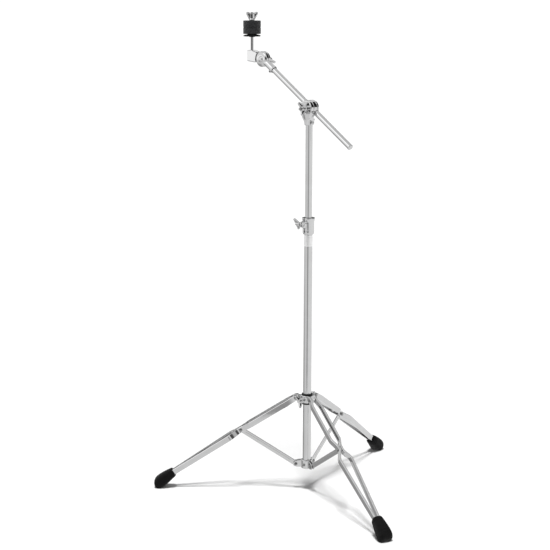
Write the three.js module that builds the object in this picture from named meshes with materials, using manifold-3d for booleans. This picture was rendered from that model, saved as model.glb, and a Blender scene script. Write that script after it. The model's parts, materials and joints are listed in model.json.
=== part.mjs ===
// Cymbal boom stand: folding tripod, two-stage mast, tilting boom and cymbal tilter.
// Millimetres, +Z up, floor at z = 0. The stand is open and locked for playing.
import * as THREE from "three";
import { mergeVertices } from "three/addons/utils/BufferGeometryUtils.js";
import Module from "manifold-3d";

const wasm = await Module();
wasm.setup();

// ---------- driving dimensions ----------
const MAST_X = 83; // the mast axis, from the middle of the footprint
const GAP = 0.3; // running clearance between neighbouring pieces
const ROUND = 24; // sides of a tube

// Mast
const BASE_TUBE = { radius: 9.525, wall: 1.2, bottom: 54.5, top: 616 };
const MIDDLE_TUBE = { radius: 7.94, wall: 1.1, bottom: 296, top: 857 };
const BOOM_TUBE = { radius: 6.35, wall: 1.1 };

// Tripod linkage: each leg hangs from the leg collar, each brace from the lower collar,
// and both links between pivot and pinch are equally long, so the collars stay in line.
const SPOKES = [180, 300, 60]; // compass of the legs, degrees
const PIVOT_RADIUS = 25;
const LEG_PIVOT_Z = 223.8;
const BRACE_PIVOT_Z = 63.2;
const PINCH_RADIUS = 152.5;
const LINK = Math.hypot(PINCH_RADIUS - PIVOT_RADIUS, (LEG_PIVOT_Z - BRACE_PIVOT_Z) / 2);
const LEG_SLOPE = Math.asin((LEG_PIVOT_Z - BRACE_PIVOT_Z) / 2 / LINK);
const LEG_KINK = THREE.MathUtils.degToRad(1.8); // the leg turns down below the pinch
const RAIL = { height: 13, thickness: 4.4, web: 1.6, length: 372 };
const BRACE = { height: 11.5, thickness: 3 };
const FOOT_START = 340; // where the rubber foot begins along the leg
const COLLAR_SCREW = { compass: 232, z: 219, turn: 29 }; // turn: its wings from upright, degrees

// Height clamp on top of the base tube
const CLAMP = { bottom: 603, top: 640, ear: 228, boltRadius: 19.5, boltZ: 626, nutTurn: 58 };

// Boom and its tilter
const BOOM_COMPASS = 138; // the way the boom points, degrees
const BOOM_HINGE_Z = 882.9;
const BOOM_ANGLE = THREE.MathUtils.degToRad(34);
const BOOM_SIDE = -7; // the boom axis, to the side of the mast axis
const BOOM_REAR = 141; // hinge to the rear end of the boom
const BOOM_FRONT = 163; // hinge to the front end of the tube
const DRUM_RADIUS = 18;
const CHEEK_FACE = 3.8; // ratchet face of the boom tilter
const EYE = { inner: 6.75, outer: 8.6, space: 9.2 }; // ring of the eye bolt around the boom
const BOOM_NUT_TURN = -34; // the wings from the boom line, degrees
const KEY_COMPASS = 168; // the tilter base's key screw, from the boom's compass

// Cymbal tilter
const TILTER_REACH = 181.3; // boom hinge to cymbal hinge, along the boom
const RATCHET_RADIUS = 17.5;
const ROD_REACH = 36.4; // cymbal hinge to the rod
const ROD_BLOCK = { end: 44.7, front: 8, top: 19.5 };
const CYMBAL_NUT_TURN = 4; // the wings from the boom line, degrees
const TOP_NUT_TURN = 62; // the wings from the rod block's arm, degrees
const ROD = { radius: 3.8, bottom: 6, top: 104 };
const FELT = { radius: 20, hole: 6.6, thickness: 14.8, bottom: 55.6 };

// ---------- materials ----------
const chrome = new THREE.MeshStandardMaterial({ color: 0xd4d6d8, roughness: 0.12, metalness: 1 });
const steel = new THREE.MeshStandardMaterial({ color: 0xb8babc, roughness: 0.28, metalness: 1 });
const blackPlastic = new THREE.MeshStandardMaterial({ color: 0x141416, roughness: 0.45, metalness: 0 });
const rubber = new THREE.MeshStandardMaterial({ color: 0x101012, roughness: 0.75, metalness: 0 });
const felt = new THREE.MeshStandardMaterial({ color: 0x37373b, roughness: 0.95, metalness: 0 });

// ---------- helpers ----------
const rad = THREE.MathUtils.degToRad;

// A closed geometry as a manifold solid.
function solid(geometry) {
  const bare = geometry.clone();
  bare.deleteAttribute("normal");
  bare.deleteAttribute("uv");
  const merged = mergeVertices(bare, 1e-4);
  return new wasm.Manifold(
    new wasm.Mesh({
      numProp: 3,
      vertProperties: new Float32Array(merged.attributes.position.array),
      triVerts: new Uint32Array(merged.index.array),
    }),
  );
}

// The first geometry joined to the others.
function joined(...geometries) {
  return shell(geometries.map(solid).reduce((whole, next) => whole.add(next)));
}

// The first geometry with the others taken away.
function cut(geometry, ...tools) {
  return shell(tools.map(solid).reduce((whole, next) => whole.subtract(next), solid(geometry)));
}

function shell(manifold) {
  const { vertProperties, triVerts } = manifold.getMesh();
  const geometry = new THREE.BufferGeometry();
  geometry.setAttribute("position", new THREE.BufferAttribute(new Float32Array(vertProperties), 3));
  geometry.setIndex(new THREE.BufferAttribute(new Uint32Array(triVerts), 1));
  return geometry;
}

// A body turned about +Z. The profile is a list of [radius, z] running up its outer side.
function turned(profile, sides = ROUND) {
  const points = profile.map(([radius, z]) => new THREE.Vector2(radius, z));
  return new THREE.LatheGeometry(points, sides).rotateX(Math.PI / 2);
}

// A plain disc or pin along +Z.
function pin(radius, from, to, sides = ROUND) {
  return new THREE.CylinderGeometry(radius, radius, to - from, sides)
    .rotateX(Math.PI / 2)
    .translate(0, 0, (from + to) / 2);
}

// A tube or ring along +Z.
function ring(inner, outer, from, to, sides = ROUND) {
  return turned([[inner, from], [outer, from], [outer, to], [inner, to], [inner, from]], sides);
}

// A block between two corners.
function block(low, high) {
  const size = high.map((value, i) => value - low[i]);
  const middle = high.map((value, i) => (value + low[i]) / 2);
  return new THREE.BoxGeometry(...size).translate(...middle);
}

// An outline in the XZ plane, thickened along Y between two values.
function plate(outline, from, to) {
  const shape = new THREE.Shape(outline.map(([x, z]) => new THREE.Vector2(x, z)));
  const depth = to - from;
  const geometry = new THREE.ExtrudeGeometry(shape, { depth, bevelEnabled: false });
  return geometry.rotateX(Math.PI / 2).translate(0, to, 0);
}

// Turns a geometry made along +Z so that it runs along +Y or -Y.
const alongY = (geometry) => geometry.rotateX(-Math.PI / 2);
const alongMinusY = (geometry) => geometry.rotateX(Math.PI / 2);
const alongX = (geometry) => geometry.rotateY(Math.PI / 2);

function place(parent, name, geometry, material) {
  const mesh = new THREE.Mesh(geometry, material);
  mesh.name = name;
  parent.add(mesh);
  return mesh;
}

function frame(parent, { at = [0, 0, 0], compass = 0, tilt = 0 } = {}) {
  const group = new THREE.Group();
  group.position.set(...at);
  group.rotation.set(0, tilt, rad(compass), "ZYX");
  parent.add(group);
  return group;
}

// A rivet or pin along +Z with a domed head at each end; half is the middle of the
// pack to the underside of a head.
function rivet(radius, headRadius, half, headHeight) {
  const dome = [[headRadius, half], [headRadius * 0.75, half + headHeight], [0, half + headHeight]];
  const foot = dome.map(([r, z]) => [r, -z]).reverse();
  return turned([...foot, [radius, -half], [radius, half], ...dome], 12);
}

// A wing nut or wing screw along +Z: hub, two flared wings, and a bore or a shank.
function wings({ span, height, hub, thickness, bore = 0 }) {
  const tip = span / 2;
  const side = [
    [hub * 0.6, height * 0.78],
    [tip - 5, height],
    [tip - 1.5, height],
    [tip, height - 3],
    [hub * 1.15, height * 0.12],
  ];
  const other = side.map(([x, z]) => [-x, z]).reverse();
  const blades = plate([...side, ...other], -thickness / 2, thickness / 2);
  const boss = turned([[0, 0], [hub, 0], [hub * 0.82, height * 0.7], [0, height * 0.7]], 16);
  const whole = joined(boss, blades);
  return bore ? cut(whole, pin(bore, -1, height + 1, 16)) : whole;
}

// A strip bent along a plan line of [along, aside] points, standing across Z.
function strip(line, thickness, height) {
  const offset = (side) =>
    line.map(([x, y], i) => {
      const [ax, ay] = line[Math.max(i - 1, 0)];
      const [bx, by] = line[Math.min(i + 1, line.length - 1)];
      const length = Math.hypot(bx - ax, by - ay);
      const reach = (side * thickness) / 2 / length;
      return new THREE.Vector2(x - (by - ay) * reach, y + (bx - ax) * reach);
    });
  const shape = new THREE.Shape([...offset(-1), ...offset(1).reverse()]);
  const geometry = new THREE.ExtrudeGeometry(shape, { depth: height, bevelEnabled: false });
  return geometry.translate(0, 0, -height / 2);
}

// ---------- mast ----------
function baseTube() {
  const { radius, wall, bottom, top } = BASE_TUBE;
  const holes = [0, 120, 240].map((compass) =>
    alongX(pin(2.1, 6, 14, 12)).translate(0, 0, BRACE_PIVOT_Z).rotateZ(rad(compass)),
  );
  return cut(ring(radius - wall, radius, bottom, top), ...holes);
}

function basePlug() {
  const { bottom } = BASE_TUBE;
  return turned([[0, bottom - 1.4], [8.8, bottom - 1.4], [9.4, bottom - 1], [9.4, bottom - GAP],
    [8, bottom - GAP], [7.6, bottom + 6], [0, bottom + 6]]);
}

// Ring with three pairs of ears; each pair holds the inner end of a brace.
function lowerCollar() {
  const { radius } = BASE_TUBE;
  const outline = [[11, 56], [22, 56], [29, 57.5], [31.5, 61], [31, 67], [27, 71], [20, 73], [11, 74]];
  const ear = plate(outline, 1.9, 3.9);
  const pair = [ear, ear.clone().translate(0, -5.8, 0)];
  const ears = SPOKES.flatMap((compass) => pair.map((one) => one.clone().rotateZ(rad(compass))));
  const body = joined(ring(radius + 0.4, radius + 3.1, 54, 74), ...ears);
  const holes = SPOKES.flatMap((compass) => [
    alongY(pin(2.6, -10, 10, 12)).translate(PIVOT_RADIUS, 0, BRACE_PIVOT_Z).rotateZ(rad(compass)),
    alongX(pin(2.1, 6, 14, 12)).translate(0, 0, BRACE_PIVOT_Z).rotateZ(rad(compass + 60)),
  ]);
  return cut(body, ...holes);
}

// Radial rivet that fixes the lower collar to the base tube.
function tubeRivet() {
  const profile = [[0, 7.4], [1.8, 7.4], [1.8, 12.95], [3.4, 12.95], [3.1, 14], [1.8, 14.6], [0, 14.6]];
  return alongX(turned(profile, 10));
}

// Flared casting on top of the base tube, split on one side between two ears.
function heightClamp() {
  const { bottom, top, boltRadius, boltZ } = CLAMP;
  const outside = turned([[0, bottom], [12, bottom], [12.8, bottom + 2], [13.3, top - 8],
    [14.4, top - 3], [14.9, top - 0.8], [14.4, top], [0, top]]);
  const ears = block([10, -5.4, boltZ - 8], [24, 5.4, boltZ + 7]);
  const bore = turned([[0, bottom - 1], [BASE_TUBE.radius + 0.4, bottom - 1],
    [BASE_TUBE.radius + 0.4, BASE_TUBE.top + GAP], [11.6, BASE_TUBE.top + GAP], [11.6, top - 4.7],
    [9.7, top - 4.7], [9.7, top + 1], [0, top + 1]]);
  const slit = block([8, -1.2, bottom + 6], [26, 1.2, top + 1]);
  const boltHole = alongY(pin(3.3, -8, 8, 12)).translate(boltRadius, 0, boltZ);
  const dimple = alongX(pin(1.5, 11.8, 16, 10)).translate(0, 0, bottom + 8).rotateZ(rad(37));
  return cut(joined(outside, ears), bore, slit, boltHole, dimple);
}

// Plastic sleeve held in the clamp; only its rim stands out above the casting.
function heightBushing() {
  const inner = MIDDLE_TUBE.radius + 0.4;
  const { top } = CLAMP;
  return turned([[inner, BASE_TUBE.top + 1], [11.3, BASE_TUBE.top + 1], [11.3, top - 5],
    [9.4, top - 5], [9.4, top + 0.8], [9, top + 1.2], [inner, top + 1.2],
    [inner, BASE_TUBE.top + 1]]);
}

// Bolt across the ears, its head on the far side from the wing nut.
function heightClampBolt() {
  return turned([[0, -10], [4.2, -10], [5, -9.2], [5, -5.7], [3, -5.7], [3, 17.5], [0, 17.5]], 12);
}

// ---------- leg collar ----------
function legCollar() {
  const outline = [[12, 212], [20, 213], [30, 217], [32.5, 223.8], [30.5, 229.5], [24, 231.5],
    [16, 229], [12, 229]];
  const lug = plate(outline, -4.5, 4.5);
  const lugs = SPOKES.map((compass) => lug.clone().rotateZ(rad(compass)));
  const atScrew = (geometry) =>
    alongX(geometry).translate(0, 0, COLLAR_SCREW.z).rotateZ(rad(COLLAR_SCREW.compass));
  const body = joined(pin(14.5, 211.5, 229), ...lugs, atScrew(pin(5.6, 12, 19.5, 16)));
  const pivots = SPOKES.map((compass) =>
    alongY(pin(3.3, -8, 8, 12)).translate(PIVOT_RADIUS, 0, LEG_PIVOT_Z).rotateZ(rad(compass)),
  );
  return cut(body, pin(11.95, 200, 240), ...pivots, atScrew(pin(3.3, 8, 22, 12)));
}

// Flanged plastic sleeve between the leg collar and the base tube.
function legCollarBushing() {
  const inner = BASE_TUBE.radius + 0.4;
  return turned([[inner, 208], [12.6, 208], [13.2, 208.6], [13.2, 211.2], [11.6, 211.2],
    [11.6, 229.3], [12.4, 229.3], [12.4, 231.6], [11.8, 232.4], [inner, 232.4], [inner, 208]]);
}

// Wing screw with its own shank, pressing on the sleeve.
function legCollarScrew() {
  const grip = wings({ span: 31, height: 15, hub: 5.6, thickness: 4 });
  grip.rotateZ(rad(COLLAR_SCREW.turn)).translate(0, 0, 19.9);
  return joined(grip, pin(3, 12.1, 21, 12));
}

// ---------- legs and braces ----------
// Below the pinch the leg turns down by a small angle.
function kinked(geometry) {
  const { position } = geometry.attributes;
  for (let i = 0; i < position.count; i += 1) {
    const beyond = Math.max(0, position.getX(i) - LINK);
    position.setZ(i, position.getZ(i) - beyond * Math.tan(LEG_KINK));
  }
  return geometry;
}

// One pressed rail of a leg: parallel at the lug, bowed, pinched on the brace, bowed again.
function legRail(side) {
  const { height, thickness, web, length } = RAIL;
  const plan = [[-7, 7], [6, 7], [24, 11], [LINK - 26, 11], [LINK - 8, 4], [LINK + 8, 4],
    [LINK + 27, 15], [345, 4.6], [length, 4.6]];
  const line = plan.map(([along, aside]) => [along, aside * side]);
  const channel = (from, to) => {
    const inner = line.slice(from, to).map(([along, aside]) => [along, aside - side * web]);
    return strip(inner, thickness, height - 2 * web);
  };
  const hole = (radius, along) => alongY(pin(radius, -20, 20, 12)).translate(along, 0, 0);
  const rail = strip(line, thickness, height);
  return kinked(cut(rail, channel(2, 4), channel(6, 8), hole(3.3, 0), hole(2.6, LINK)));
}

// A cross section of the foot: a rectangle with cut corners, at one place along the leg.
function footSection(along, top, bottom, halfWidth) {
  const corner = Math.min(halfWidth, (top - bottom) / 2) * 0.55;
  const soft = corner * 0.3;
  const right = [
    [halfWidth - corner, top],
    [halfWidth - soft, top - soft],
    [halfWidth, top - corner],
    [halfWidth, bottom + corner],
    [halfWidth - soft, bottom + soft],
    [halfWidth - corner, bottom],
  ];
  const left = right.map(([y, z]) => [-y, z]).reverse();
  return [...right, ...left].map(([y, z]) => [along, y, z]);
}

// A closed skin over a row of equal sections.
function loft(sections) {
  const count = sections[0].length;
  const indices = [];
  for (let row = 0; row + 1 < sections.length; row += 1) {
    for (let i = 0; i < count; i += 1) {
      const a = row * count + i;
      const b = row * count + ((i + 1) % count);
      indices.push(a, a + count, b, b, a + count, b + count);
    }
  }
  const last = (sections.length - 1) * count;
  for (let i = 1; i + 1 < count; i += 1) {
    indices.push(0, i, i + 1, last, last + i + 1, last + i);
  }
  const geometry = new THREE.BufferGeometry();
  geometry.setAttribute("position", new THREE.Float32BufferAttribute(sections.flat(2), 3));
  geometry.setIndex(indices);
  return geometry;
}

// Tapered rubber boot over the ends of both rails, flat where it stands on the floor.
function rubberFoot() {
  const body = loft([
    footSection(FOOT_START, 3.6, -15.6, 10.5),
    footSection(FOOT_START + 4, 4.6, -17.2, 12.5),
    footSection(FOOT_START + 24, 5.6, -21.5, 15),
    footSection(FOOT_START + 41, 4.6, -25, 16.5),
    footSection(FOOT_START + 49, 0.5, -24, 15.5),
    footSection(FOOT_START + 53.5, -5, -20, 12.5),
  ]);
  const middle = -(FOOT_START + 16 - LINK) * Math.tan(LEG_KINK);
  const socket = block([FOOT_START - 5, -7.2, middle - 7.4], [RAIL.length + 2, 7.2, middle + 7.4]);
  const floor = block([-80, -40, -60], [80, 40, 0]).rotateY(-LEG_SLOPE);
  const reach = LEG_PIVOT_Z / Math.sin(LEG_SLOPE); // where the leg line meets the floor
  return cut(body, socket, floor.translate(reach, 0, 0));
}

// Flat bar with round ends and a hole at each pivot, from the pinch (x = 0) inwards.
function brace() {
  const radius = BRACE.height / 2;
  const half = BRACE.thickness / 2;
  const end = (x) => alongY(pin(radius, -half, half, 16)).translate(x, 0, 0);
  const bar = block([0, -half, -radius], [LINK, half, radius]);
  const hole = (x) => alongY(pin(2.6, -5, 5, 12)).translate(x, 0, 0);
  return cut(joined(bar, end(0), end(LINK)), hole(0), hole(LINK));
}

// ---------- boom tilter ----------
// Socket over the middle tube, rising into one cheek beside the boom.
function boomTilterBase() {
  const { radius, top } = MIDDLE_TUBE;
  const socket = turned([[0, top - 11], [9.7, top - 11], [10.2, top - 9], [11.8, top - 1],
    [14, top + 7], [15.5, top + 13], [15.5, top + 18], [0, top + 18]]);
  const cheekOutline = [[-3, -37], [3, -37], [5, -28], [10.5, -20], [DRUM_RADIUS, 0],
    [-DRUM_RADIUS, 0], [-10.5, -20], [-5, -28]];
  const hinge = ([x, z]) => [x, z + BOOM_HINGE_Z];
  const neck = plate(cheekOutline.map(hinge), CHEEK_FACE, 12.4);
  const disc = alongY(pin(DRUM_RADIUS, CHEEK_FACE, 12.4, 32)).translate(0, 0, BOOM_HINGE_Z);
  const drumSpace = alongY(pin(DRUM_RADIUS + 0.5, -30, CHEEK_FACE, 32));
  const boomSpace = block([-30, -30, top + 2.5], [30, -0.6, BOOM_HINGE_Z]);
  return cut(
    joined(socket, neck, disc),
    pin(radius + GAP, top - 20, top + GAP),
    drumSpace.translate(0, 0, BOOM_HINGE_Z),
    boomSpace,
    alongY(pin(3.9, -5, 20, 12)).translate(0, 0, BOOM_HINGE_Z),
    keySpace(top - 5),
  );
}

// Room for the key screw in the tilter base.
const keySpace = (z) =>
  alongX(pin(2.6, 4, 30, 12)).translate(0, 0, z).rotateZ(rad(KEY_COMPASS));

// Square-headed key screw that locks a socket to its tube.
function keyScrew(from, to, headLength) {
  const shank = pin(2.2, from, to + 1, 12);
  const head = block([-2.1, -2.1, to], [2.1, 2.1, to + headLength]);
  return joined(shank, pin(3.2, to, to + 1.5, 16), head);
}

// Front half of the clamp around the boom, with the ratchet face; x runs along the boom.
function boomSaddle() {
  const bore = alongX(pin(EYE.inner, -30, 30)).translate(0, BOOM_SIDE, 0);
  const ringSpace = alongX(pin(EYE.space, -4, 4)).translate(0, BOOM_SIDE, 0);
  const drum = alongY(pin(DRUM_RADIUS, BOOM_SIDE + GAP, CHEEK_FACE - GAP - 0.1, 32));
  return cut(drum, bore, ringSpace, alongY(pin(3.9, -5, 5, 12)));
}

// Domed rear half of the clamp.
function boomHood() {
  const depth = 10.2;
  const from = -BOOM_SIDE + GAP;
  const dome = [[0, from], [DRUM_RADIUS, from], [DRUM_RADIUS, from + 4], [DRUM_RADIUS - 1.6, from + 7],
    [12.5, from + depth - 1], [7, from + depth], [0, from + depth]];
  const bore = alongX(pin(EYE.inner, -30, 30)).translate(0, BOOM_SIDE, 0);
  const ringSpace = alongX(pin(EYE.space, -4, 4)).translate(0, BOOM_SIDE, 0);
  return cut(alongMinusY(turned(dome, 32)), bore, ringSpace);
}

// Ring around the boom tube with a threaded stud through the cheek.
function boomEyeBolt() {
  const eye = alongX(ring(EYE.inner, EYE.outer, -3.5, 3.5)).translate(0, BOOM_SIDE, 0);
  const stud = alongY(pin(3.5, 1.2, 31, 12));
  return joined(eye, stud);
}

// ---------- boom ----------
function boomTube() {
  const { radius, wall } = BOOM_TUBE;
  return alongX(ring(radius - wall, radius, -BOOM_REAR + 3, BOOM_FRONT));
}

function boomEndCap() {
  const { radius, wall } = BOOM_TUBE;
  const plug = radius - wall - GAP;
  return alongX(turned([[0, -BOOM_REAR], [radius - 1, -BOOM_REAR], [radius + 0.4, -BOOM_REAR + 1],
    [radius + 0.4, -BOOM_REAR + 2.7], [plug, -BOOM_REAR + 2.7], [plug, -BOOM_REAR + 14],
    [0, -BOOM_REAR + 14]]));
}

// Disc of the cymbal tilter, with a low domed outer face.
function ratchetDisc() {
  return turned([[0, GAP], [RATCHET_RADIUS, GAP], [RATCHET_RADIUS, 5.2], [16.4, 7.1], [12, 8.6],
    [6.2, 9], [0, 9]], 32);
}

// Lower half of the cymbal tilter: sleeve over the boom and one ratchet disc.
function tilterSocket() {
  const from = 139.4 - TILTER_REACH;
  const tubeEnd = BOOM_FRONT - TILTER_REACH;
  const sleeve = alongX(turned([[0, from], [7.6, from], [8.5, from + 1.2], [8.5, from + 3],
    [8, from + 4], [8, tubeEnd - 4], [8.6, tubeEnd + 2], [8.6, tubeEnd + 8], [0, tubeEnd + 8]]));
  const disc = alongY(ratchetDisc());
  const bore = alongX(pin(BOOM_TUBE.radius + GAP, from - 5, tubeEnd + GAP));
  const upperSpace = alongY(pin(RATCHET_RADIUS + 1, -12, GAP, 32));
  const key = pin(2.6, -20, 0, 12).translate(from + 9, 0, 0);
  return cut(joined(sleeve, disc), upperSpace, bore, alongY(pin(3.8, -5, 20, 12)), key);
}

// Upper half of the cymbal tilter: ratchet disc, arm and the flat-faced block for the rod.
function rodBlock() {
  const disc = alongMinusY(ratchetDisc());
  const { end, front, top } = ROD_BLOCK;
  const arm = plate([[0, -15.5], [14, -10], [24, -7.5], [24, 17], [10, 14], [0, 16]], -9, -GAP);
  const head = plate([[20, -8], [end, -5.5], [end, top], [29, top], [20, 16]], -9, front);
  const lowerSpace = alongY(pin(RATCHET_RADIUS + 1, -GAP, 12, 32));
  const rodHole = pin(ROD.radius + GAP, ROD.bottom - GAP, 25, 16).translate(ROD_REACH, 0, 0);
  return cut(joined(disc, arm, head), lowerSpace, rodHole, alongY(pin(3.8, -20, 5, 12)));
}

// Bolt through both ratchet discs; its round head is in front, the nut behind.
function cymbalHingeBolt() {
  return alongMinusY(turned([[0, -11.5], [3.6, -11.3], [6, -10.5], [6.8, -9.3], [3.4, -9.3],
    [3.4, 26], [0, 26]], 20));
}

function cymbalRod() {
  const { radius, bottom, top } = ROD;
  return turned([[0, bottom], [radius, bottom], [radius, top - 1], [radius - 1, top], [0, top]], 16);
}

// Cupped seat: the felt rests on the middle, the rim stands clear below it.
function seatWasher() {
  const hole = ROD.radius + GAP;
  const top = FELT.bottom - GAP;
  return turned([[hole, top - 6.8], [6, top - 6.8], [7.5, top - 5.2], [13, top - 4.6],
    [19, top - 5.4], [19.5, top - 4.6], [19.4, top - 2.7], [12, top - 1], [9.5, top], [hole, top],
    [hole, top - 6.8]]);
}

function rodSleeve() {
  const top = FELT.bottom + 2 * FELT.thickness + GAP - 2;
  return ring(ROD.radius + GAP, 6, FELT.bottom, top, 20);
}

function feltWasher(level) {
  const { radius, hole, thickness, bottom } = FELT;
  const low = bottom + level * (thickness + GAP);
  const high = low + thickness;
  return turned([[hole, low], [radius - 0.8, low], [radius, low + 1], [radius, high - 1.6],
    [radius - 1.8, high], [hole, high], [hole, low]], 28);
}

// ---------- assembly ----------
const stand = new THREE.Group();
const mast = frame(stand, { at: [MAST_X, 0, 0] });

place(mast, "base_tube", baseTube(), chrome);
place(mast, "base_tube_plug", basePlug(), blackPlastic);
place(mast, "lower_collar", lowerCollar(), chrome);
place(mast, "height_clamp", heightClamp().rotateZ(rad(CLAMP.ear)), chrome);
place(mast, "height_bushing", heightBushing(), blackPlastic);

const clampEars = frame(mast, { compass: CLAMP.ear });
const clampBolt = alongMinusY(heightClampBolt()).translate(CLAMP.boltRadius, 0, CLAMP.boltZ);
place(clampEars, "height_clamp_bolt", clampBolt, steel);
const clampNut = wings({ span: 31, height: 15, hub: 5.6, thickness: 4, bore: 3.3 });
clampNut.rotateZ(rad(CLAMP.nutTurn));
alongMinusY(clampNut).translate(CLAMP.boltRadius, -5.8, CLAMP.boltZ);
place(clampEars, "height_wing_nut", clampNut, chrome);

place(mast, "leg_collar", legCollar(), chrome);
place(mast, "leg_collar_bushing", legCollarBushing(), blackPlastic);
const screwFrame = frame(mast, { at: [0, 0, COLLAR_SCREW.z], compass: COLLAR_SCREW.compass });
place(screwFrame, "leg_collar_wing_screw", alongX(legCollarScrew()), chrome);

SPOKES.forEach((compass, index) => {
  const number = index + 1;
  const spoke = frame(mast, { compass });
  const leg = frame(spoke, { at: [PIVOT_RADIUS, 0, LEG_PIVOT_Z], tilt: LEG_SLOPE });
  place(leg, `leg_${number}_rail_left`, legRail(1), chrome);
  place(leg, `leg_${number}_rail_right`, legRail(-1), chrome);
  place(leg, `leg_${number}_pinch_rivet`, alongY(rivet(2.3, 4, 6.5, 1.6)).translate(LINK, 0, 0), steel);
  place(leg, `leg_${number}_foot`, rubberFoot(), rubber);
  place(leg, `leg_${number}_pivot_rivet`, alongY(rivet(3, 4.9, 9.5, 1.8)), steel);

  const braceFrame = frame(spoke, {
    at: [PINCH_RADIUS, 0, (LEG_PIVOT_Z + BRACE_PIVOT_Z) / 2],
    tilt: Math.PI - LEG_SLOPE,
  });
  place(braceFrame, `brace_${number}`, brace(), chrome);
  const braceRivet = alongY(rivet(2.3, 4, 4.2, 1.5)).translate(PIVOT_RADIUS, 0, BRACE_PIVOT_Z);
  place(spoke, `brace_${number}_rivet`, braceRivet, steel);
  const fixing = frame(mast, { at: [0, 0, BRACE_PIVOT_Z], compass: compass + 60 });
  place(fixing, `collar_tube_rivet_${number}`, tubeRivet(), steel);
});

const { radius: midRadius, wall: midWall, bottom: midBottom, top: midTop } = MIDDLE_TUBE;
place(mast, "middle_tube", ring(midRadius - midWall, midRadius, midBottom, midTop), chrome);
const guideProfile = [[0, midBottom - 6], [7.6, midBottom - 6], [8, midBottom - 5],
  [8, midBottom - GAP], [6.4, midBottom - GAP], [6.2, midBottom + 14], [0, midBottom + 14]];
place(mast, "middle_tube_guide", turned(guideProfile), blackPlastic);

const head = frame(mast, { compass: BOOM_COMPASS });
place(head, "boom_tilter_base", boomTilterBase(), chrome);
const baseKey = alongX(keyScrew(midRadius + GAP, 12.4, 4.5)).rotateZ(rad(KEY_COMPASS));
place(head, "boom_base_key_screw", baseKey.translate(0, 0, midTop - 5), steel);

const boom = frame(head, { at: [0, 0, BOOM_HINGE_Z], tilt: -BOOM_ANGLE });
place(boom, "boom_saddle", boomSaddle(), chrome);
place(boom, "boom_hood", boomHood(), chrome);
place(boom, "boom_eye_bolt", boomEyeBolt(), steel);
const boomNut = wings({ span: 31, height: 18, hub: 6.4, thickness: 4.4, bore: 3.8 });
place(boom, "boom_wing_nut", alongY(boomNut).rotateY(rad(BOOM_NUT_TURN)).translate(0, 12.8, 0), chrome);

const arm = frame(boom, { at: [0, BOOM_SIDE, 0] });
place(arm, "boom_tube", boomTube(), chrome);
place(arm, "boom_end_cap", boomEndCap(), chrome);

const tilter = frame(arm, { at: [TILTER_REACH, 0, 0] });
place(tilter, "tilter_socket", tilterSocket(), chrome);
const socketKey = keyScrew(BOOM_TUBE.radius + GAP, 9.2, 3).rotateX(Math.PI);
place(tilter, "tilter_key_screw", socketKey.translate(139.4 - TILTER_REACH + 9, 0, 0), steel);
place(tilter, "cymbal_hinge_bolt", cymbalHingeBolt(), steel);
const tilterNut = wings({ span: 34, height: 17, hub: 6, thickness: 4.2, bore: 3.7 });
alongMinusY(tilterNut).rotateY(rad(CYMBAL_NUT_TURN)).translate(0, -9.3, 0);
place(tilter, "cymbal_wing_nut", tilterNut, chrome);

const upright = frame(tilter, { tilt: BOOM_ANGLE });
place(upright, "rod_block", rodBlock(), chrome);
const rodFrame = frame(upright, { at: [ROD_REACH, 0, 0] });
place(rodFrame, "cymbal_rod", cymbalRod(), steel);
place(rodFrame, "seat_washer", seatWasher(), blackPlastic);
place(rodFrame, "rod_sleeve", rodSleeve(), blackPlastic);
place(rodFrame, "lower_felt", feltWasher(0), felt);
place(rodFrame, "upper_felt", feltWasher(1), felt);
const topNut = wings({ span: 27.7, height: 19, hub: 6.2, thickness: 4.2, bore: ROD.radius + GAP });
const nutSeat = FELT.bottom + 2 * FELT.thickness + 2 * GAP;
place(rodFrame, "top_wing_nut", topNut.rotateZ(rad(TOP_NUT_TURN)).translate(0, 0, nutSeat), chrome);

export default stand;
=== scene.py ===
"""Cymbal boom stand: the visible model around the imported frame, with its studio and camera.

Shapes are made in millimetres, in frames taken from the record's joints, and set down in metres.
"""

import json
import math

import bmesh
import bpy
from mathutils import Matrix, Vector, noise


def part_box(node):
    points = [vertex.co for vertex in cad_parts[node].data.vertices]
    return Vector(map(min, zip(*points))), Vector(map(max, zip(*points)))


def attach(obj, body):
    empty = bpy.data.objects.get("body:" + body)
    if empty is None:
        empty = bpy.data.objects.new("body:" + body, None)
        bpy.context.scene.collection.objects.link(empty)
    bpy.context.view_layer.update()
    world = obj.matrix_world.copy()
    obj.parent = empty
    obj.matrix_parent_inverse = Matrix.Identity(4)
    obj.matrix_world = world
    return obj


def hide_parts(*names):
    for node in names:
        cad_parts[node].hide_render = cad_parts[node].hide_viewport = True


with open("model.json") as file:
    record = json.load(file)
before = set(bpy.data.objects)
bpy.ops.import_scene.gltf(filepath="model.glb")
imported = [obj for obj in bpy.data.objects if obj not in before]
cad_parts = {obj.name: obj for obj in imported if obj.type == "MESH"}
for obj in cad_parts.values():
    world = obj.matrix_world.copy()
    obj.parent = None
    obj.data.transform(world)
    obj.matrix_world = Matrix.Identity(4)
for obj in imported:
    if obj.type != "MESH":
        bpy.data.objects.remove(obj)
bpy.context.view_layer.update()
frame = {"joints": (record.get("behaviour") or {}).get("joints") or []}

MM = 0.001
FLAT_CORNER = math.radians(32)  # sharper corners than this stay sharp when shaded

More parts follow.
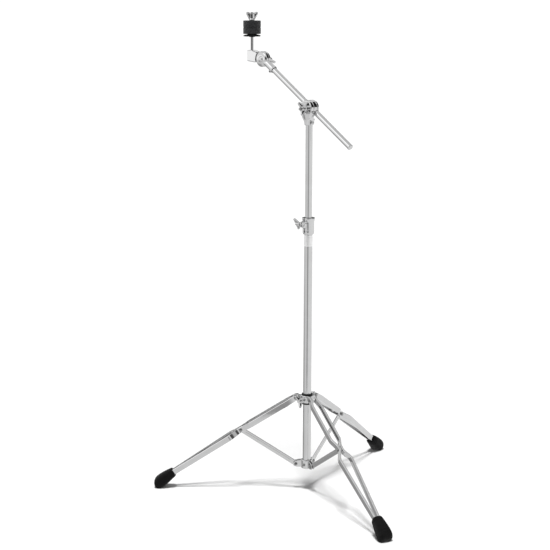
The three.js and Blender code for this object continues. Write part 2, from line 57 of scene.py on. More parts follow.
# Lengths are in millimetres, and turns and compasses in degrees.
# Mast
BASE_TUBE = {"radius": 9.525, "wall": 1.2, "bottom": 54.5, "top": 616}
MIDDLE_TUBE = {"radius": 7.94, "wall": 1.1, "bottom": 296, "top": 857}
BAND = {"bottom": 575.5, "top": 600.5, "thickness": 0.12}
CLAMP = {"bottom": 603, "top": 640, "ear": 228, "bolt_radius": 19.5, "bolt_z": 626, "nut_turn": 58}
LOWER_COLLAR = (54, 74)
BRACE_PIVOT_Z = 63.2
PIVOT_RADIUS = 25

# Tripod
LEG_KINK = math.tan(math.radians(1.8))  # how steeply a leg bends down below its pinch
RAIL = {"height": 13, "thickness": 4.4, "length": 372, "groove": 2.6}
LEG_COLLAR = {"radius": 14.5, "bottom": 211.5, "top": 229}
COLLAR_SCREW = {"compass": 232, "z": 219, "turn": 29}

# Boom and tilters
BOOM_TUBE = {"radius": 6.35, "wall": 1.1}
BOOM_REAR = 141
BOOM_FRONT = 163
BOOM_SIDE = -7  # the boom passes beside the middle of its tilter
DRUM_RADIUS = 18
CHEEK_FACE = 3.8
CHEEK_BACK = 12.4
SOCKET_START = 139.4
EYE = {"outer": 8.6, "space": 9.2}
BOOM_NUT_TURN = -34
CYMBAL_NUT_TURN = 4
TOP_NUT_TURN = 62
RATCHET_RADIUS = 17.5
ROD_REACH = 36.4
ROD_BLOCK = {"end": 44.7, "front": 8, "top": 19.5}
ROD = {"radius": 3.8, "bottom": 6, "top": 104}
FELT = {"radius": 20, "hole": 6.6, "thickness": 14.8, "bottom": 55.6}
GAP = 0.3  # between neighbouring parts
KEY_COMPASS = 168  # the tilter base's key screw, from the boom's compass
SLOT_COMPASS = 146  # the slot beside it


# ---------- shapes ----------
class Geo:
    """Vertices in millimetres, and faces."""

    def __init__(self, verts, faces):
        self.verts = [Vector(v) for v in verts]
        self.faces = [tuple(f) for f in faces]

    def __add__(self, other):
        start = len(self.verts)
        faces = [tuple(i + start for i in f) for f in other.faces]
        return Geo(self.verts + other.verts, self.faces + faces)

    def moved(self, matrix):
        return Geo([matrix @ v for v in self.verts], self.faces)

    def shifted(self, x=0, y=0, z=0):
        return self.moved(Matrix.Translation((x, y, z)))

    def turned(self, degrees, axis="Z"):
        return self.moved(Matrix.Rotation(math.radians(degrees), 4, axis))


def along_x(geo):
    return geo.turned(90, "Y")


def along_y(geo):
    return geo.turned(-90, "X")


def along_minus_y(geo):
    return geo.turned(90, "X")


def softened(profile, radius, steps=3):
    """The profile with its corners rounded. Corners on the axis stay."""
    closed = profile[0] == profile[-1]
    points = [Vector(p) for p in (profile[:-1] if closed else profile)]
    count = len(points)
    result = []
    for i, here in enumerate(points):
        if not closed and i in (0, count - 1):
            result.append(tuple(here))
            continue
        before, after = points[i - 1] - here, points[(i + 1) % count] - here
        bend = math.pi - before.angle(after)
        if bend < 0.3:
            result.append(tuple(here))
            continue
        reach = min(radius * math.tan(bend / 2), 0.45 * before.length, 0.45 * after.length)
        start = here + before.normalized() * reach
        end = here + after.normalized() * reach
        for k in range(steps + 1):
            t = k / steps
            point = start * (1 - t) ** 2 + here * 2 * t * (1 - t) + end * t * t
            result.append((point.x, point.y))
    if closed:
        result.append(result[0])
    return result


def lathe(profile, sides):
    """A body turned about +Z from (radius, z) points that run up its outer side."""
    closed = profile[0] == profile[-1]
    points = profile[:-1] if closed else profile
    verts, rings = [], []
    for radius, z in points:
        if radius < 1e-6:
            rings.append([len(verts)] * sides)
            verts.append((0, 0, z))
            continue
        rings.append(list(range(len(verts), len(verts) + sides)))
        for k in range(sides):
            angle = 2 * math.pi * k / sides
            verts.append((radius * math.cos(angle), radius * math.sin(angle), z))
    return Geo(verts, ring_faces(rings, closed))


def spun(profile, edge, sides=64):
    """A turned body with its corners rounded."""
    return lathe(softened(profile, edge), sides)


def ring_faces(rings, closed=False):
    """Faces between rows of vertex numbers, where a repeated number closes a row to a point."""
    faces = []
    count = len(rings)
    for row in range(count if closed else count - 1):
        low, high = rings[row], rings[(row + 1) % count]
        for k in range(len(low)):
            n = (k + 1) % len(low)
            face = []
            for i in (low[k], low[n], high[n], high[k]):
                if i not in face:
                    face.append(i)
            if len(face) > 2:
                faces.append(face)
    return faces


def tube(inner, outer, low, high, sides, edge=0.25):
    loop = [(inner, low), (outer, low), (outer, high), (inner, high), (inner, low)]
    return spun(loop, edge, sides)


def rod(radius, low, high, sides, edge):
    return spun([(0, low), (radius, low), (radius, high), (0, high)], edge, sides)


def loft(rings):
    """A skin over rows of points, with a flat cap at each end."""
    count = len(rings[0])
    verts = [p for ring in rings for p in ring]
    numbers = [list(range(r * count, (r + 1) * count)) for r in range(len(rings))]
    return Geo(verts, ring_faces(numbers) + [numbers[0][::-1], numbers[-1]])


def inset(outline, distance):
    """The outline moved inwards, corner by corner; it runs anticlockwise."""
    result = []
    count = len(outline)
    for i in range(count):
        here = Vector(outline[i])
        a = (here - Vector(outline[i - 1])).normalized()
        b = (Vector(outline[(i + 1) % count]) - here).normalized()
        na, nb = Vector((-a.y, a.x)), Vector((-b.y, b.x))
        result.append(here + (na + nb) * (distance / (1 + na.dot(nb))))
    return result


def anticlockwise(outline):
    area = sum(
        outline[i - 1][0] * outline[i][1] - outline[i][0] * outline[i - 1][1]
        for i in range(len(outline))
    )
    return outline if area > 0 else outline[::-1]


def rounded(outline, corner, steps=4):
    """The outline anticlockwise, with its corners rounded."""
    loop = anticlockwise(outline)
    return softened([*loop, loop[0]], corner, steps)[:-1]


def slab(loop, levels):
    """A skin over copies of an XZ outline, each at its own y and inset by its own distance."""
    return loft([[(x, y, z) for x, z in inset(loop, reach)] for y, reach in levels])


def both_faces(face):
    """The levels of a slab across y = 0, from those of its far half."""
    return [(-y, reach) for y, reach in face] + [(y, reach) for y, reach in face[::-1]]


def plate(outline, low, high, corner, edge):
    """An outline in the XZ plane with rounded corners, thickened along Y, with rounded rims."""
    return slab(rounded(outline, corner), [
        (low, edge), (low + edge * 0.3, edge * 0.3), (low + edge, 0),
        (high - edge, 0), (high - edge * 0.3, edge * 0.3), (high, edge),
    ])


def block(low, high, edge):
    outline = [(low[0], low[2]), (high[0], low[2]), (high[0], high[2]), (low[0], high[2])]
    return plate(outline, low[1], high[1], edge, edge)


def dished(outline, thickness):
    """A plate across y = 0, with both faces hollowed inside a raised rim."""
    half, edge = thickness / 2, thickness * 0.3
    rim, depth = 1.3, thickness * 0.24
    face = [(half - depth, rim + 1.1), (half - depth * 0.6, rim + 0.5), (half, rim),
            (half, edge), (half - edge * 0.3, edge * 0.3), (half - edge, 0)]
    return slab(rounded(outline, 1.2), both_faces(face))


def thread(radius, pitch, low, high):
    """The ridge of a screw thread about +Z, to add to a core of that radius less half the pitch."""
    depth = pitch * 0.5
    turns = (high - low) / pitch - 1
    steps = 20  # in each turn
    rings = []
    for k in range(int(turns * steps) + 1):
        angle = 2 * math.pi * k / steps
        z = low + pitch * (k / steps + 0.5)
        fade = min(1, k / steps * 2, (turns * steps - k) / steps * 2)
        crest = radius - depth * (1 - fade) * 0.9
        section = [
            (radius - depth - 0.3, z - pitch * 0.45), (crest, z - pitch * 0.08),
            (crest, z + pitch * 0.08), (radius - depth - 0.3, z + pitch * 0.45),
        ]
        rings.append([(r * math.cos(angle), r * math.sin(angle), h) for r, h in section])
    return loft(rings)


def threaded(radius, pitch, low, high, sides=32):
    """A screw's shank: core and thread."""
    core = radius - pitch * 0.5
    return rod(core, low, high, sides, 0.3) + thread(radius, pitch, low, high - 0.2)


def crown_teeth(inner, outer, height):
    """A ring of radial ratchet teeth that stand on z = 0, towards +Z, with their roots below it."""
    count, root = 36, -0.8
    verts, rings = [], []
    for k in range(count * 2):
        angle = math.pi * k / count
        top = height if k % 2 else 0
        for radius, level in ((inner, root), (outer, root), (outer, top), (inner, top)):
            verts.append((radius * math.cos(angle), radius * math.sin(angle), level))
        rings.append(list(range(4 * k, 4 * k + 4)))
    return Geo(verts, ring_faces(rings, closed=True))


# ---------- solids ----------
def in_scene(name, data):
    obj = bpy.data.objects.new(name, data)
    bpy.context.scene.collection.objects.link(obj)
    return obj


def as_object(geo, name="work"):
    mesh = bpy.data.meshes.new(name)
    mesh.from_pydata(geo.verts, [], geo.faces)
    made = bmesh.new()
    made.from_mesh(mesh)
    bmesh.ops.remove_doubles(made, verts=made.verts, dist=1e-5)
    bmesh.ops.recalc_face_normals(made, faces=made.faces)
    made.to_mesh(mesh)
    made.free()
    return in_scene(name, mesh)


def with_modifiers(obj):
    """The object's shape with its modifiers applied; the object is removed."""
    graph = bpy.context.evaluated_depsgraph_get()
    shown = obj.evaluated_get(graph)
    mesh = shown.to_mesh()
    result = Geo([v.co for v in mesh.vertices], [p.vertices for p in mesh.polygons])
    shown.to_mesh_clear()
    bpy.data.objects.remove(obj)
    return result


def combined(operation, first, others):
    """The first shape with each of the others joined to it or cut from it."""
    for other in others:
        a, b = as_object(first), as_object(other)
        step = a.modifiers.new("combine", "BOOLEAN")
        step.operation, step.solver, step.object = operation, "MANIFOLD", b
        first = with_modifiers(a)
        bpy.data.objects.remove(b)
    return first


def joined(first, *others):
    return combined("UNION", first, others)


def cut(first, *tools):
    return combined("DIFFERENCE", first, tools)


def cast(geo, voxel, passes):
    """The shape as a polished casting: every edge and inner corner a small fillet."""
    obj = as_object(geo)
    remesh = obj.modifiers.new("skin", "REMESH")
    remesh.mode, remesh.voxel_size = "VOXEL", voxel
    smooth = obj.modifiers.new("fillet", "SMOOTH")
    smooth.factor, smooth.iterations = 0.5, passes
    return with_modifiers(obj)


def finished(name, geo, place, look):
    """The shape set down in metres, smooth between its sharp corners, with its material."""
    obj = as_object(geo.moved(Matrix.Scale(MM, 4) @ place), name)
    obj.data.polygons.foreach_set("use_smooth", [True] * len(obj.data.polygons))
    obj.data.set_sharp_from_angle(angle=FLAT_CORNER)
    obj.modifiers.new("even_shading", "WEIGHTED_NORMAL").keep_sharp = True
    obj.data.materials.append(look)
    return obj


def piece(node, body, geo, place, look):
    """A finished piece that stands for the CAD node of the same name."""
    obj = finished("shown_" + node, geo, place, look)
    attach(obj, body)
    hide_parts(node)
    return obj


# ---------- materials ----------
class Nodes:
    """A shader's node tree."""

    def __init__(self, tree):
        self.tree = tree

    def node(self, kind, **inputs):
        made = self.tree.nodes.new("ShaderNode" + kind)
        for name, value in inputs.items():
            self.feed(made.inputs[name.replace("_", " ")], value)
        return made

    def feed(self, socket, value):
        if isinstance(value, bpy.types.NodeSocket):
            self.tree.links.new(value, socket)
        else:
            socket.default_value = value

    def combine(self, operation, *values, kind="Math", output=0):
        made = self.node(kind)
        made.operation = operation
        for socket, value in zip(made.inputs, values):
            self.feed(socket, value)
        return made.outputs[output]

    def ramp(self, value, start, end, low, high, kind="LINEAR"):
        """The value stretched from start..end to low..high, and no further."""
        made = self.node("MapRange", Value=value, From_Min=start, From_Max=end, To_Min=low,
                         To_Max=high)
        made.interpolation_type = kind
        return made.outputs["Result"]


class Look(Nodes):
    """A principled material with its node tree."""

    def __init__(self, name, metallic, colour, roughness):
        self.material = bpy.data.materials.new(name)
        self.material.use_nodes = True
        super().__init__(self.material.node_tree)
        self.shader = self.tree.nodes["Principled BSDF"]
        self.shader.inputs["Metallic"].default_value = metallic
        self.shader.inputs["Base Color"].default_value = (*colour, 1)
        self.shader.inputs["Roughness"].default_value = roughness
        self.place = self.node("TexCoord").outputs["Object"]

    def noise(self, scale, detail=3, stretch=(1, 1, 1)):
        place = self.node("Mapping", Vector=self.place, Scale=stretch).outputs["Vector"]
        made = self.node("TexNoise", Vector=place, Scale=scale, Detail=detail)
        return made.outputs["Fac"]

    def spread(self, value, low, high, start=0.3, end=0.7):
        """A ramp, by default over the usual range of a noise."""
        return self.ramp(value, start, end, low, high)

    def tones(self, value, *stops):
        ramp = self.node("ValToRGB", Fac=value)
        elements = ramp.color_ramp.elements
        while len(elements) < len(stops):
            elements.new(0.5)
        for element, (position, colour) in zip(elements, stops):
            element.position, element.color = position, (*colour, 1)
        return ramp.outputs["Color"]

    def bump(self, height, strength, distance, normal=None):
        made = self.node("Bump", Height=height, Strength=strength, Distance=distance)
        if normal:
            self.feed(made.inputs["Normal"], normal)
        return made.outputs["Normal"]

    def finish(self, **inputs):
        for name, value in inputs.items():
            self.feed(self.shader.inputs[name.replace("_", " ")], value)
        return self.material


def chrome_look(name, tone, streaks=(1, 1, 0.04), haze=0.05):
    """Polished chromium: nearly a mirror, with faint haze, wipe marks and hairline scratches."""
    look = Look(name, 1, (tone, tone, tone), 0.06)
    cloud = look.noise(45, 4)
    marks = look.noise(900, 2, streaks)
    pale = (tone, tone * 1.004, tone * 1.01)
    colour = look.tones(cloud, (0.3, (tone * 0.94,) * 3), (0.7, pale))
    wiped = look.spread(cloud, 0.03, 0.03 + haze)
    scratched = look.spread(marks, 0, 0.035, 0.55, 0.75)
    roughness = look.combine("ADD", wiped, scratched)
    normal = look.bump(marks, 0.05, 0.00003)
    normal = look.bump(look.noise(140, 2), 0.05, 0.0002, normal)
    return look.finish(Base_Color=colour, Roughness=roughness, Normal=normal)


def steel_look():
    """Zinc-plated steel of rivets and bolts: satin, with turning marks and dull patches."""
    look = Look("plated_steel", 1, (0.3, 0.3, 0.3), 0.3)
    patches = look.noise(220, 5)
    rings = look.noise(2600, 2, (0.05, 0.05, 1))
    colour = look.tones(patches, (0.25, (0.2, 0.2, 0.205)), (0.75, (0.34, 0.34, 0.335)))
    normal = look.bump(rings, 0.12, 0.00004)
    normal = look.bump(patches, 0.12, 0.00008, normal)
    return look.finish(Base_Color=colour, Roughness=look.spread(patches, 0.2, 0.36), Normal=normal)


def plastic_look():
    """Black nylon: moulded skin with a fine grain and slightly polished high spots."""
    look = Look("black_nylon", 0, (0.008, 0.008, 0.009), 0.42)
    grain = look.noise(2600, 3)
    cloud = look.noise(120, 3)
    colour = look.tones(cloud, (0.3, (0.004, 0.004, 0.0045)), (0.75, (0.01, 0.01, 0.011)))
    return look.finish(Base_Color=colour, Roughness=look.spread(cloud, 0.34, 0.52),
                       Normal=look.bump(grain, 0.2, 0.00005), Specular_IOR_Level=0.2)


def rubber_look():
    """Moulded rubber: matt, pitted, with dusty scuffs where it meets the floor."""
    look = Look("moulded_rubber", 0, (0.006, 0.006, 0.006), 0.7)
    pits = look.noise(1500, 5)
    scuffs = look.noise(150, 6, (1, 1, 2.5))
    height = look.node("SeparateXYZ", Vector=look.place).outputs["Z"]
    low = look.spread(height, 1, 0, 0.0, 0.012)
    dust = look.combine("MULTIPLY", low, look.spread(scuffs, 0, 1, 0.5, 0.72))
    colour = look.tones(dust, (0.0, (0.004, 0.004, 0.004)), (1.0, (0.014, 0.0135, 0.013)))
    return look.finish(Base_Color=colour, Roughness=look.spread(scuffs, 0.42, 0.7),
                       Normal=look.bump(pits, 0.35, 0.00012), Specular_IOR_Level=0.12)


def felt_look():
    """Pressed wool felt: matted fibres, paler where they stand up."""
    look = Look("charcoal_felt", 0, (0.05, 0.05, 0.052), 0.95)
    fibres = look.noise(1100, 8, (1, 1, 0.45))
    tufts = look.noise(260, 4)
    colour = look.tones(
        look.combine("MULTIPLY", fibres, tufts), (0.12, (0.006, 0.006, 0.007)),
        (0.26, (0.017, 0.0175, 0.019)), (0.42, (0.044, 0.0455, 0.049)),
    )
    normal = look.bump(fibres, 0.8, 0.0005)
    normal = look.bump(tufts, 0.4, 0.0008, normal)
    return look.finish(Base_Color=colour, Normal=normal, Sheen_Weight=0.2, Sheen_Roughness=0.6,
                       Specular_IOR_Level=0.15)


def band_look():
    """Plain pale foil around the tube, with faint print mottling."""
    look = Look("pale_band", 0.7, (0.88, 0.88, 0.88), 0.25)
    cloud = look.noise(180, 4)
    colour = look.tones(cloud, (0.3, (0.84, 0.84, 0.84)), (0.7, (0.9, 0.9, 0.9)))
    normal = look.bump(look.noise(1300, 2), 0.03, 0.00002)
    return look.finish(Base_Color=colour, Roughness=look.spread(cloud, 0.3, 0.38), Normal=normal)


CHROME = chrome_look("chromium", 0.6)
CAST_CHROME = chrome_look("chromium_on_castings", 0.62, (1, 1, 1), 0.08)
STEEL = steel_look()
NYLON = plastic_look()
RUBBER = rubber_look()
WOOL = felt_look()
FOIL = band_look()


# ---------- frames, from the record's joints ----------
joints = {j["name"]: j for j in frame["joints"]}


def at(joint):
    return Vector(joints[joint]["pos_m"]) / MM


def axis_of(joint):
    return Vector(joints[joint]["axis"]).normalized()


def frame_at(origin, x, y):
    """The matrix of a frame with its origin, X and Y; Z follows."""
    z = x.cross(y)
    made = Matrix((x, y, z)).transposed().to_4x4()
    made.translation = origin
    return made


def compass(degrees):
    angle = math.radians(degrees)
    return Vector((math.cos(angle), math.sin(angle), 0))


tube_low, tube_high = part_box("base_tube")
mast_axis = Vector(((tube_low.x + tube_high.x) / 2, (tube_low.y + tube_high.y) / 2, 0)) / MM
MAST = Matrix.Translation(mast_axis)

level_y = axis_of("boom_tilt")
level_x = level_y.cross(Vector((0, 0, 1)))
boom_x = axis_of("boom_slide")
HEAD = frame_at(mast_axis, level_x, level_y)
BOOM = frame_at(at("boom_tilt"), boom_x, level_y)
ARM = BOOM @ Matrix.Translation((0, BOOM_SIDE, 0))
TILTER = frame_at(at("cymbal_tilt"), boom_x, level_y)
TILTER_REACH = (at("cymbal_tilt") - at("boom_tilt")).dot(boom_x)
UPRIGHT = frame_at(at("cymbal_tilt"), level_x, level_y)
ROD_FRAME = frame_at(at("top_nut_turn"), level_x, level_y)
HINGE_Z = at("boom_tilt").z
CLAMP_EARS = MAST @ Matrix.Rotation(math.radians(CLAMP["ear"]), 4, "Z")


# ---------- wing nuts and screws ----------
def wing_nut(span, height, hub, thickness, bore=0.0, web=0.8):
    """A cast wing nut or screw head along +Z, its wings hollowed on both faces.

    web is the share of its height that is filled between the wings.
    """
    tip = span / 2
    side = [(hub * 0.5, height * 0.08), (hub * 1.15, height * 0.13), (tip - 0.7, height * 0.68),
            (tip, height * 0.86), (tip - 1.5, height), (tip - 4.8, height),
            (hub * 0.9, height * min(1, web + 0.05)), (hub * 0.3, height * web)]
    wing = dished(side, thickness)
    top = height * (web - 0.06)
    crown = spun([(0, 0), (hub, 0), (hub, height * 0.12), (hub * 0.84, height * 0.2),
                  (hub * 0.74, top), (0, top)], 0.8, 48)
    whole = cast(joined(crown, wing, wing.turned(180)), 0.42, 5)
    if bore:
        whole = cut(whole, rod(bore, -1, height + 1, 32, 0.1))
    return whole


def key_screw(start, end, length):
    """A square-headed key screw along +Z, with a chamfered head over a round flange."""
    shank = threaded(2.2, 0.8, start, end + 1, 24)
    flange = spun([(0, end), (3.2, end), (3.2, end + 1), (2.6, end + 1.5), (0, end + 1.5)], 0.3)
    loop = rounded([(-2.1, -2.1), (2.1, -2.1), (2.1, 2.1), (-2.1, 2.1)], 0.4, 2)
    top = end + length
    levels = [(end + 1, 0), (top - 0.8, 0), (top - 0.3, 0.25), (top, 0.8)]
    head = loft([[(x, y, z) for x, y in inset(loop, reach)] for z, reach in levels])
    return joined(flange, head) + shank


def domed_rivet(radius, head_radius, half, head_height):
    """A rivet along +Z with a domed head at each end."""
    dome = [(head_radius * math.cos(a), half + 0.35 + (head_height - 0.35) * math.sin(a))
            for a in (math.radians(d) for d in (0, 18, 36, 54, 72, 84))]
    upper = [(head_radius, half), *dome, (0, half + head_height)]
    lower = [(r, -z) for r, z in upper][::-1]
    return lathe([*lower, (radius, -half), (radius, half), *upper], 36)


# ---------- mast ----------
def build_mast():
    radius, wall, bottom, top = BASE_TUBE.values()
    body = tube(radius - wall, radius, bottom, top, 96)
    piece("base_tube", "mast", body, MAST, CHROME)
    band = tube(radius + 0.01, radius + BAND["thickness"], BAND["bottom"], BAND["top"], 96, 0.03)
    band = finished("base_tube_band", band, MAST, FOIL)
    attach(band, "mast")

    plug = [(0, bottom - 1.4), (8.6, bottom - 1.4), (9.4, bottom - 1), (9.4, bottom - GAP),
            (8, bottom - GAP), (7.6, bottom + 6), (0, bottom + 6)]
    piece("base_tube_plug", "mast", spun(plug, 0.5), MAST, NYLON)

    ring = tube(radius + 0.4, radius + 3.1, *LOWER_COLLAR, 72, 0.9)
    ear = plate([(11, 56), (22, 56), (29, 57.5), (31.5, 61), (31, 67), (27, 71), (20, 73),
                 (11, 74)], 1.9, 3.9, 3, 0.4)
    pair = (ear, ear.shifted(y=-5.8))
    ears = [one.turned(angle) for angle in SPOKES for one in pair]
    bore = rod(radius + GAP, 40, 90, 72, 0.1)
    body = cut(joined(ring, *ears), bore)
    piece("lower_collar", "mast", cast(body, 0.5, 4), MAST, CAST_CHROME)

    radius, wall, bottom, top = MIDDLE_TUBE.values()
    body = tube(radius - wall, radius, bottom, top, 96)
    piece("middle_tube", "upper_mast", body, MAST, CHROME)
    guide = [(0, bottom - 6), (7.6, bottom - 6), (8, bottom - 5), (8, bottom - GAP),
             (6.4, bottom - GAP), (6.2, bottom + 14), (0, bottom + 14)]
    guide = spun(guide, 0.4)
    piece("middle_tube_guide", "tube_guide", guide, MAST, NYLON)


def build_height_clamp():
    bottom, top = CLAMP["bottom"], CLAMP["top"]
    across, level = CLAMP["bolt_radius"], CLAMP["bolt_z"]
    outside = spun([(0, bottom), (12.2, bottom), (12.8, bottom + 2.4), (13.1, bottom + 3.2),
                    (13.3, top - 9), (14.4, top - 4), (14.9, top - 1.6), (14.3, top), (0, top)],
                   0.8, 96)
    ear = plate([(9, level - 10), (16, level - 8.6), (22.6, level - 5), (24, level),
                 (23, level + 4.6), (18.5, level + 7.2), (9, level + 8)], -5.4, 5.4, 3, 1.2)
    bore, step = BASE_TUBE["radius"] + GAP, BASE_TUBE["top"] + GAP
    hollow = lathe([(0, bottom - 1), (bore, bottom - 1), (bore, step), (11.5, step),
                    (11.5, top - 4.7), (9.6, top - 4.7), (9.6, top + 1), (0, top + 1)], 72)
    slit = block((8, -1.1, bottom + 6), (27, 1.1, top + 2), 0.1)
    relief = along_x(rod(2.2, 8, 20, 24, 0.1)).shifted(z=bottom + 6)
    hole = along_y(rod(3.2, -8, 8, 24, 0.1)).shifted(across, 0, level)
    dimple = along_x(rod(1.6, 11.6, 16, 24, 0.1)).shifted(z=bottom + 8).turned(37)
    body = cast(cut(joined(outside, ear), hollow, slit, relief, hole, dimple), 0.5, 5)
    piece("height_clamp", "mast", body, CLAMP_EARS, CAST_CHROME)

    inner, low = MIDDLE_TUBE["radius"] + GAP, BASE_TUBE["top"] + 1
    sleeve = [(inner, low), (11.3, low), (11.3, top - 5), (9.4, top - 5), (9.4, top + 0.3),
              (9, top + 0.6), (inner, top + 0.6), (inner, low)]
    piece("height_bushing", "mast", spun(sleeve, 0.4), MAST, NYLON)

    head = spun([(0, -10), (3.6, -10), (5, -8.6), (5, -5.7), (0, -5.7)], 0.5, 48)
    neck = block((-3, -3, -6), (3, 3, -5.2), 0.1)
    bolt = joined(head, neck) + threaded(3, 1, -5.7, 17.5, 32)
    place = CLAMP_EARS @ Matrix.Translation((across, 0, level))
    place = place @ Matrix.Rotation(math.pi / 2, 4, "X")
    piece("height_clamp_bolt", "mast", bolt, place, CHROME)

    nut = wing_nut(31, 15, 5.6, 4.6, 2.7, 0.94).turned(CLAMP["nut_turn"])
    place = place @ Matrix.Translation((0, 0, 5.8))
    piece("height_wing_nut", "height_nut", nut, place, CAST_CHROME)


def build_leg_collar():
    lug = plate([(12, 212), (20, 213), (30, 217), (32.5, 223.8), (30.5, 229.5), (24, 231.5),
                 (16, 229), (12, 229)], -4.5, 4.5, 3.5, 1)
    radius, bottom, top = LEG_COLLAR.values()
    drum = spun([(0, bottom), (radius - 0.9, bottom), (radius, bottom + 1.5), (radius, top - 1.5),
                 (radius - 0.9, top), (0, top)], 0.8, 72)
    toward, screw_z = COLLAR_SCREW["compass"], COLLAR_SCREW["z"]
    boss = along_x(rod(5.6, 12, 19.5, 48, 0.8)).shifted(z=screw_z).turned(toward)
    bore = rod(11.9, 200, 240, 72, 0.1)
    screw_hole = along_x(rod(3.2, 8, 22, 24, 0.1)).shifted(z=screw_z).turned(toward)
    body = joined(drum, boss, *[lug.turned(angle) for angle in SPOKES])
    body = cast(cut(body, bore, screw_hole), 0.55, 5)
    piece("leg_collar", "collar", body, MAST, CAST_CHROME)

    inner, low, high = BASE_TUBE["radius"] + GAP, bottom - GAP, top + GAP
    sleeve = [(inner, 208), (12.6, 208), (13.2, 208.6), (13.2, low), (11.6, low), (11.6, high),
              (12.4, high), (12.4, 231.7), (11.8, 232.4), (inner, 232.4), (inner, 208)]
    piece("leg_collar_bushing", "collar", spun(sleeve, 0.5, 72), MAST, NYLON)

    grip = wing_nut(31, 15, 5.6, 4.6).turned(COLLAR_SCREW["turn"]).shifted(z=19.9)
    screw = along_x(grip + threaded(3, 1, 12.1, 21)).shifted(z=screw_z).turned(toward)
    piece("leg_collar_wing_screw", "leg_collar_screw", screw, MAST, CAST_CHROME)


# ---------- legs and braces ----------
def leg_rail(side, link):
    """One pressed rail of a leg: a flattened channel, bowed above and below the pinch.

    Its plan is in pairs of the place along the leg and the distance from the leg's middle.
    """
    plan = [(-7, 7), (6, 7), (24, 11), (link - 26, 11), (link - 8, 4), (link + 8, 4),
            (link + 27, 15), (345, 4.6), (RAIL["length"], 4.6)]
    line = [Vector(p) for p in softened(plan, 26, 7)]
    half_height, half = RAIL["height"] / 2, RAIL["thickness"] / 2
    rings = []
    for i, here in enumerate(line):
        ahead = (line[min(i + 1, len(line) - 1)] - line[max(i - 1, 0)]).normalized()
        across = Vector((-ahead.y, ahead.x))
        groove = RAIL["groove"] * groove_at(here.x, link)
        end = min(1, (here.x + 7) / 6.5, (RAIL["length"] - here.x) / 3)
        tall = half_height * (0.5 + 0.5 * math.sqrt(max(0, 1 - (1 - end) ** 2)))
        section = rail_section(half, tall, groove)
        drop = max(0, here.x - link) * LEG_KINK
        rings.append([
            (here.x + across.x * u, (here.y + across.y * u) * side, v - drop) for u, v in section
        ])
    return loft(rings)


def groove_at(along, link):
    """How deep the channel is, from 0 at the lug, pinch and foot to 1 in the bows."""
    def between(start, end):
        ramp = 14
        return max(0, min(1, (along - start) / ramp, (end - along) / ramp))
    return max(between(8, link - 14), between(link + 12, 338))


def rail_section(half, tall, groove):
    """The rail's outline across its length: flat outside with rolled edges, hollow inside."""
    crown = 0.01
    lip = 1.5
    outer = [(half - 1.5, -tall), (half - 0.6, -tall + 0.2), (half - crown, -tall + 1),
             (half - crown * 0.2, -tall * 0.5), (half, 0), (half - crown * 0.2, tall * 0.5),
             (half - crown, tall - 1), (half - 0.6, tall - 0.2), (half - 1.5, tall)]
    inner = [(-half + 0.5, tall), (-half, tall - 0.4), (-half, tall - lip + 0.3),
             (-half + groove, tall - lip - 0.6), (-half + groove, 0),
             (-half + groove, -tall + lip + 0.6), (-half, -tall + lip - 0.3),
             (-half, -tall + 0.4), (-half + 0.5, -tall)]
    return outer + inner


def foot_ring(along, top, bottom, half_width):
    """A rounded rectangle across the leg at one place along it."""
    middle, half = (top + bottom) / 2, (top - bottom) / 2
    power, count = 3.0, 56
    ring = []
    for k in range(count):
        angle = 2 * math.pi * k / count
        c, s = math.cos(angle), math.sin(angle)
        ring.append((along, half_width * math.copysign(abs(c) ** (2 / power), c),
                     middle + half * math.copysign(abs(s) ** (2 / power), s)))
    return ring


def rubber_foot(place):
    """A moulded boot: a ribbed collar around the rails, a swollen toe, and a flat sole.

    Each station is a place along the leg, then the boot's top, bottom and half width there.
    """
    stations = [(340, 3.6, -15.6, 10.5), (344, 4.6, -17.2, 12.5), (354, 5.2, -19.2, 13.7),
                (364, 5.6, -21.5, 15), (373, 5.4, -23.6, 16.1), (381, 4.6, -25, 16.5),
                (386, 2.9, -24.9, 16.2), (389.5, 0.4, -24, 15.4), (392, -2.6, -22, 14),
                (393.6, -5.6, -19.6, 12), (394, -8, -17.6, 9.4)]
    rings = [foot_ring(339.9, 0.5, -12.6, 8.2)]
    for start, end in zip(stations, stations[1:]):
        parts = max(1, round((end[0] - start[0]) / 0.75))
        for k in range(parts):
            t = k / parts
            along, top, bottom, wide = (a + (b - a) * t for a, b in zip(start, end))
            rib = rib_depth(along)
            rings.append(foot_ring(along, top - rib, bottom + rib, wide - rib))
    rings += [foot_ring(*stations[-1]), foot_ring(394.1, -11, -14.6, 5)]
    shape = loft(rings).moved(place)
    for v in shape.verts:
        v.z = max(v.z, 0)
    return shape


def rib_depth(along):
    """Two grooves around the collar of the boot and a parting line before the toe."""
    depth = 0
    for middle, width, deep in ((345.5, 1.2, 0.7), (349.5, 1.2, 0.7), (377, 0.7, 0.3)):
        depth = max(depth, deep * max(0, 1 - ((along - middle) / width) ** 2))
    return depth


def brace_bar(link):
    """A flat bar with round ends and a shallow pressed rib between them."""
    ends = []
    for k in range(25):
        angle = math.radians(90 - 180 * k / 24)
        ends.append((link + 5.75 * math.cos(angle), 5.75 * math.sin(angle)))
    ends += [(-x + link, z) for x, z in ends[::-1]]
    half = 1.5
    face = [(half, 0.5), (half - 0.15, 0.15), (half - 0.5, 0)]
    bar = slab(anticlockwise(ends), both_faces(face))
    outline = [(14, -1.6), (link - 14, -1.6), (link - 14, 1.6), (14, 1.6)]
    rib = plate(outline, -half - 0.45, half + 0.45, 1.6, 0.44)
    return joined(bar, rib)


